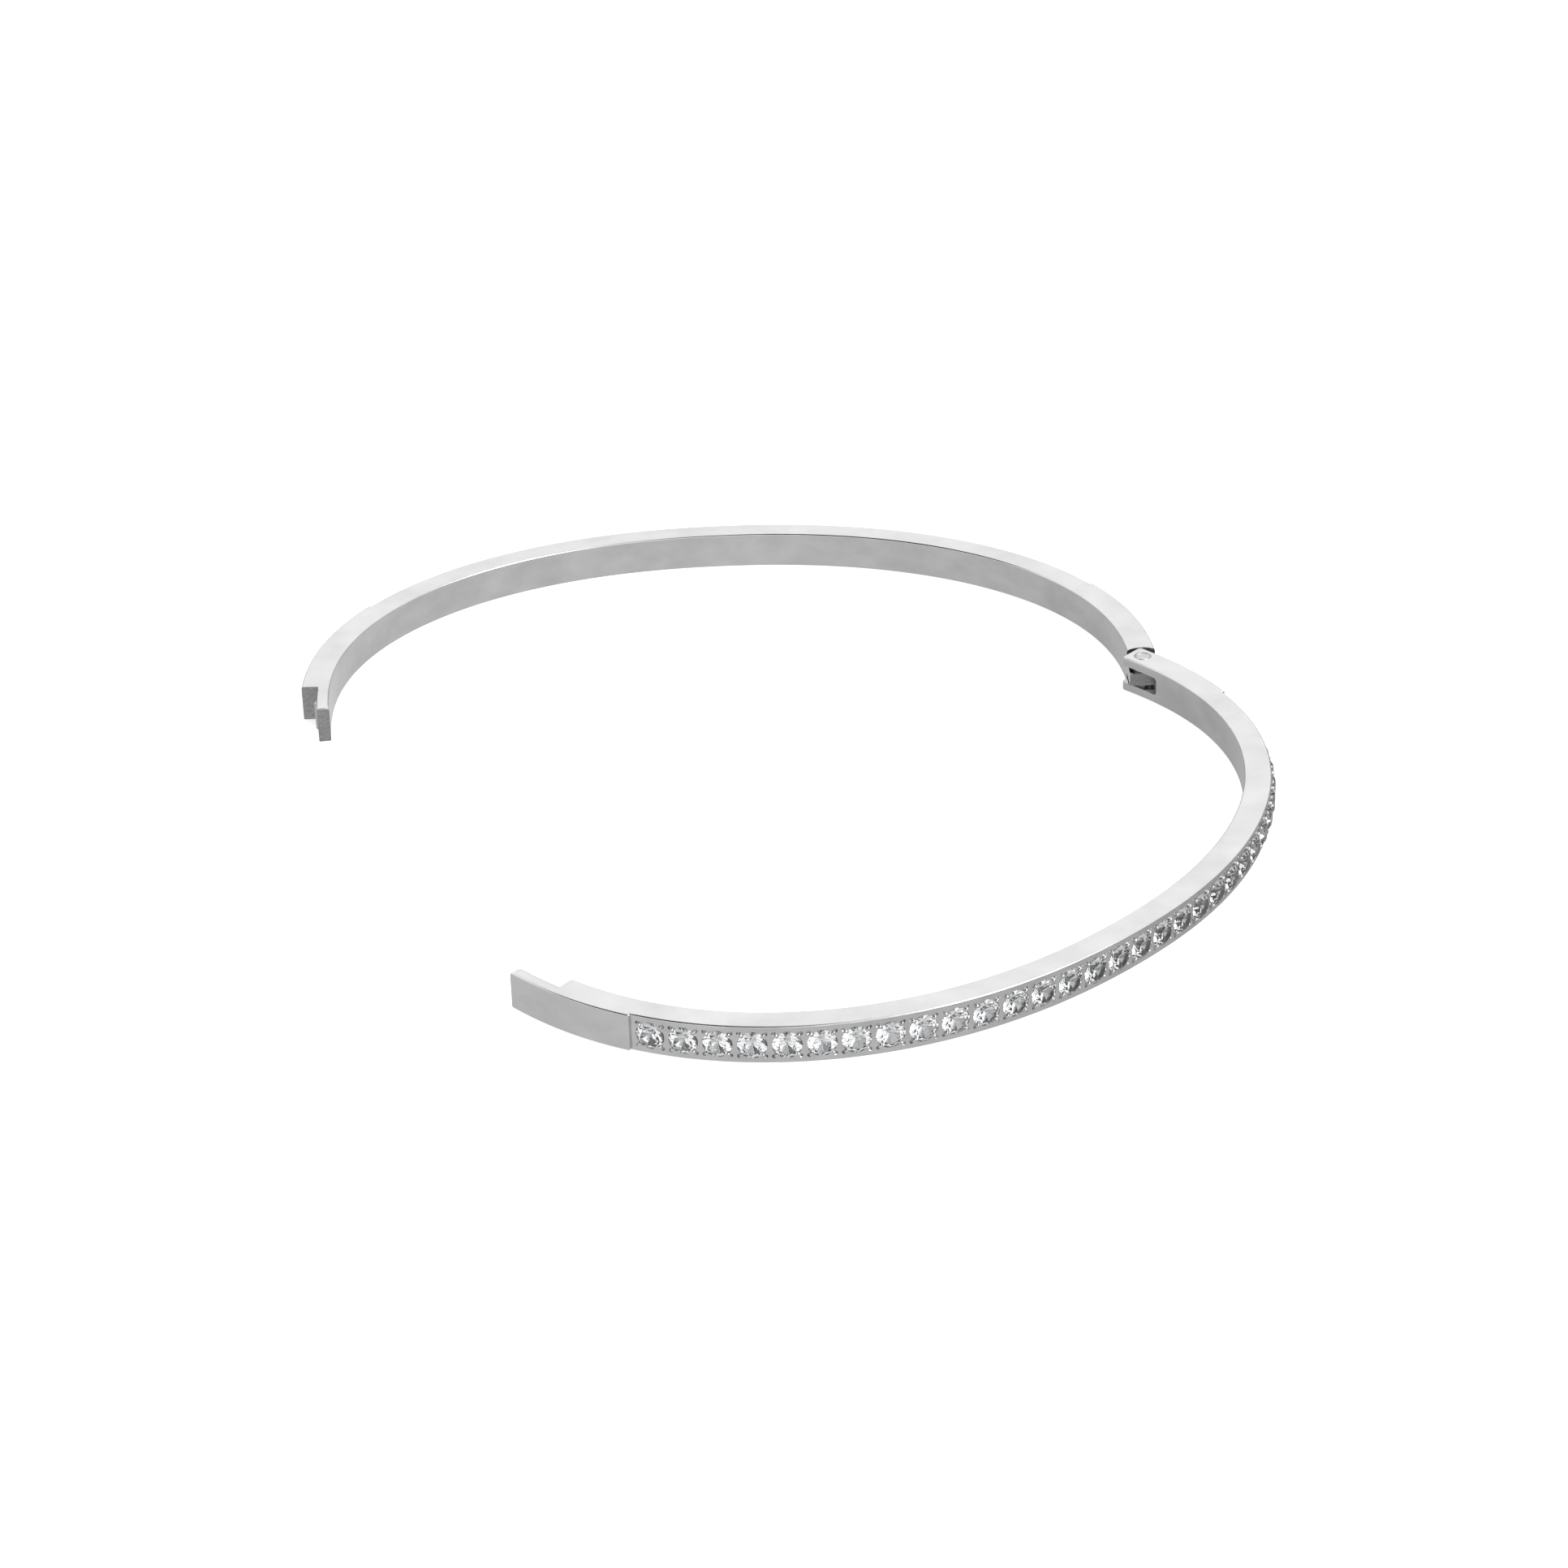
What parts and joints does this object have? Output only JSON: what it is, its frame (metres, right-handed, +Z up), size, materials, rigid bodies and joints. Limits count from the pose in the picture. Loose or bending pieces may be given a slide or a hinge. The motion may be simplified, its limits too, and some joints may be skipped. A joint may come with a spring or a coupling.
{
  "type": "bangle bracelet",
  "caption": "Oval hinged bangle in two slim steel arms set with round clear stones, shown open, with a pinned fork hinge and a lapped snap clasp.",
  "frame": {"origin": "centre of the footprint of the open bangle, on the surface that its lower edges lie on", "axes": "+Z up along the hinge pin and across the band's height; +X from the clasp side towards the hinge; +Y from the opened near arm towards the far arm"},
  "size_m": [0.072, 0.0784, 0.0028],
  "materials": {
    "polished_steel": "polished stainless steel with fine handling marks, satin on the cut ends",
    "pin_steel": "turned steel, riveted and ground flush",
    "clear_stone": "faceted clear crystal with sharp polished facets"
  },
  "bodies": {
    "far_arm": {"far_arm": "polished_steel", "snap_pin": "pin_steel", "far_stone_01": "clear_stone", "far_stone_02": "clear_stone", "far_stone_03": "clear_stone", "far_stone_04": "clear_stone", "far_stone_05": "clear_stone", "far_stone_06": "clear_stone", "far_stone_07": "clear_stone", "far_stone_08": "clear_stone", "far_stone_09": "clear_stone", "far_stone_10": "clear_stone", "far_stone_11": "clear_stone", "far_stone_12": "clear_stone", "far_stone_13": "clear_stone", "far_stone_14": "clear_stone", "far_stone_15": "clear_stone", "far_stone_16": "clear_stone", "far_stone_17": "clear_stone", "far_stone_18": "clear_stone", "far_stone_19": "clear_stone", "far_stone_20": "clear_stone", "far_stone_21": "clear_stone", "far_stone_22": "clear_stone", "far_stone_23": "clear_stone"},
    "near_arm": {"near_arm": "polished_steel", "hinge_pin": "pin_steel", "near_stone_01": "clear_stone", "near_stone_02": "clear_stone", "near_stone_03": "clear_stone", "near_stone_04": "clear_stone", "near_stone_05": "clear_stone", "near_stone_06": "clear_stone", "near_stone_07": "clear_stone", "near_stone_08": "clear_stone", "near_stone_09": "clear_stone", "near_stone_10": "clear_stone", "near_stone_11": "clear_stone", "near_stone_12": "clear_stone", "near_stone_13": "clear_stone", "near_stone_14": "clear_stone", "near_stone_15": "clear_stone", "near_stone_16": "clear_stone", "near_stone_17": "clear_stone", "near_stone_18": "clear_stone", "near_stone_19": "clear_stone", "near_stone_20": "clear_stone", "near_stone_21": "clear_stone", "near_stone_22": "clear_stone", "near_stone_23": "clear_stone", "near_stone_24": "clear_stone", "near_stone_25": "clear_stone", "near_stone_26": "clear_stone", "near_stone_27": "clear_stone", "near_stone_28": "clear_stone", "near_stone_29": "clear_stone", "near_stone_30": "clear_stone", "near_stone_31": "clear_stone", "near_stone_32": "clear_stone", "near_stone_33": "clear_stone"}
  },
  "joints": [
    {"name": "hinge", "type": "hinge", "parent": "far_arm", "child": "near_arm", "pos_m": [0.0279, 0.01308, 0.0014], "axis": [0, 0, 1], "range_deg": [-42.7, 7.3]}
  ]
}
